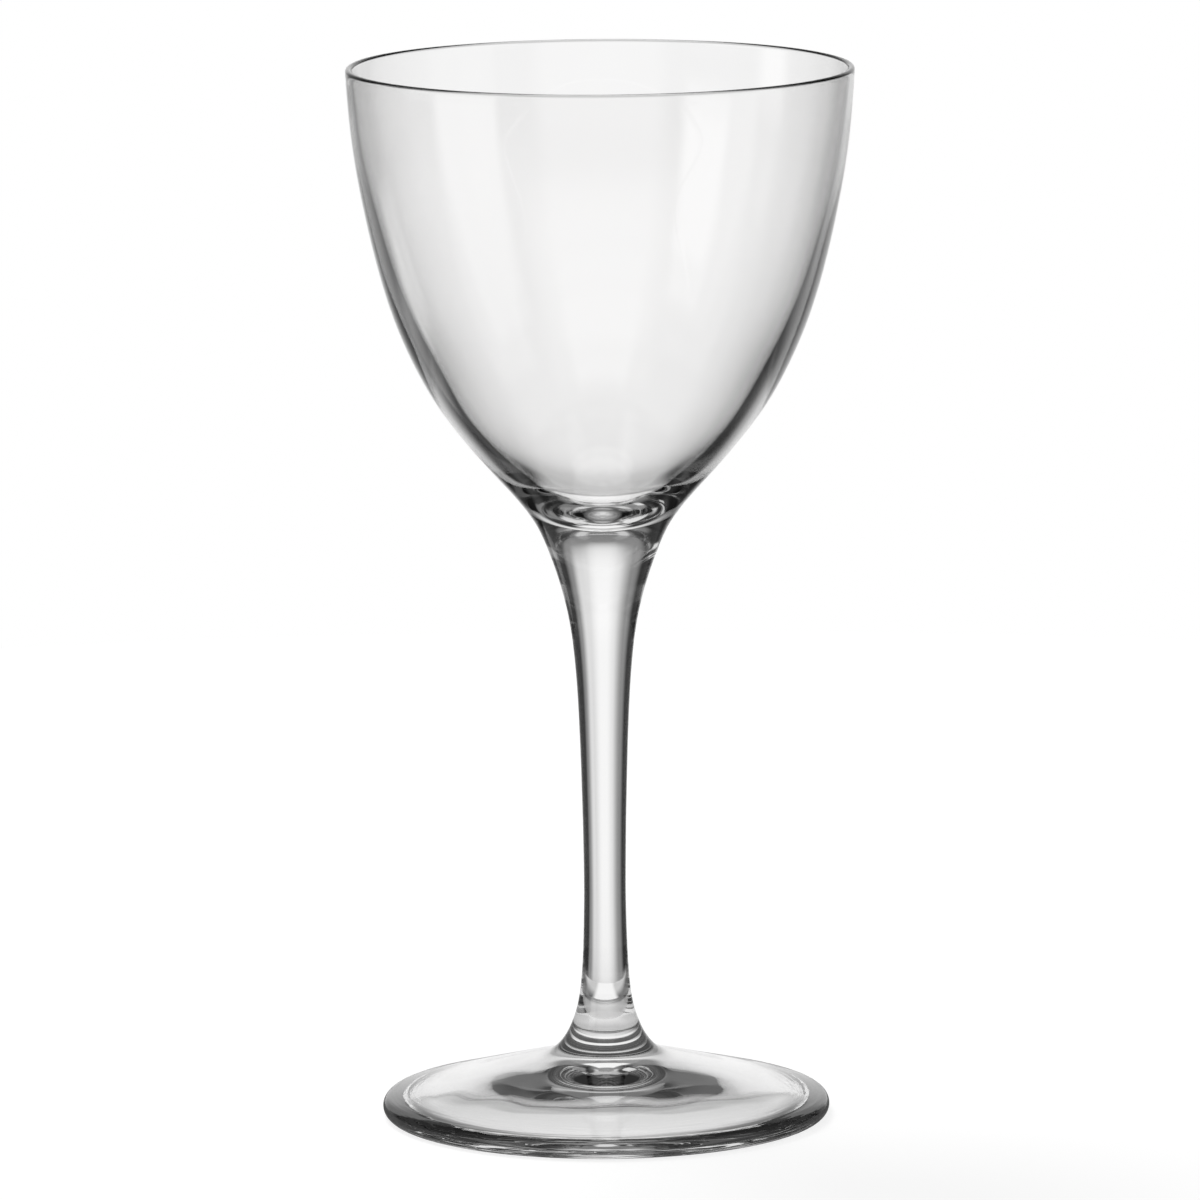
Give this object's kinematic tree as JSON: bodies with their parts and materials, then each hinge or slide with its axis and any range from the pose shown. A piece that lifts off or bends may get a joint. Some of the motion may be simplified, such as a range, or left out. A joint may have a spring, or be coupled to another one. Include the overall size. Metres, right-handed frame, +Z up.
{
  "type": "stemmed cocktail glass",
  "caption": "Small clear stemmed cocktail glass: a deep rounded bowl on a slim drawn stem and a conical foot with a hollow underside.",
  "frame": {"origin": "centre of the ring that the foot rests on, on the surface below it", "axes": "+Z up along the glass's axis to the open rim; the glass is round, so +X and +Y are any two level directions"},
  "size_m": [0.072, 0.072, 0.151],
  "materials": {
    "clear_glass": "clear fire-polished glass, smooth, with a faint grey in its thick places"
  },
  "bodies": {
    "root": {"bowl": "clear_glass", "stem": "clear_glass", "foot": "clear_glass"}
  },
  "joints": []
}
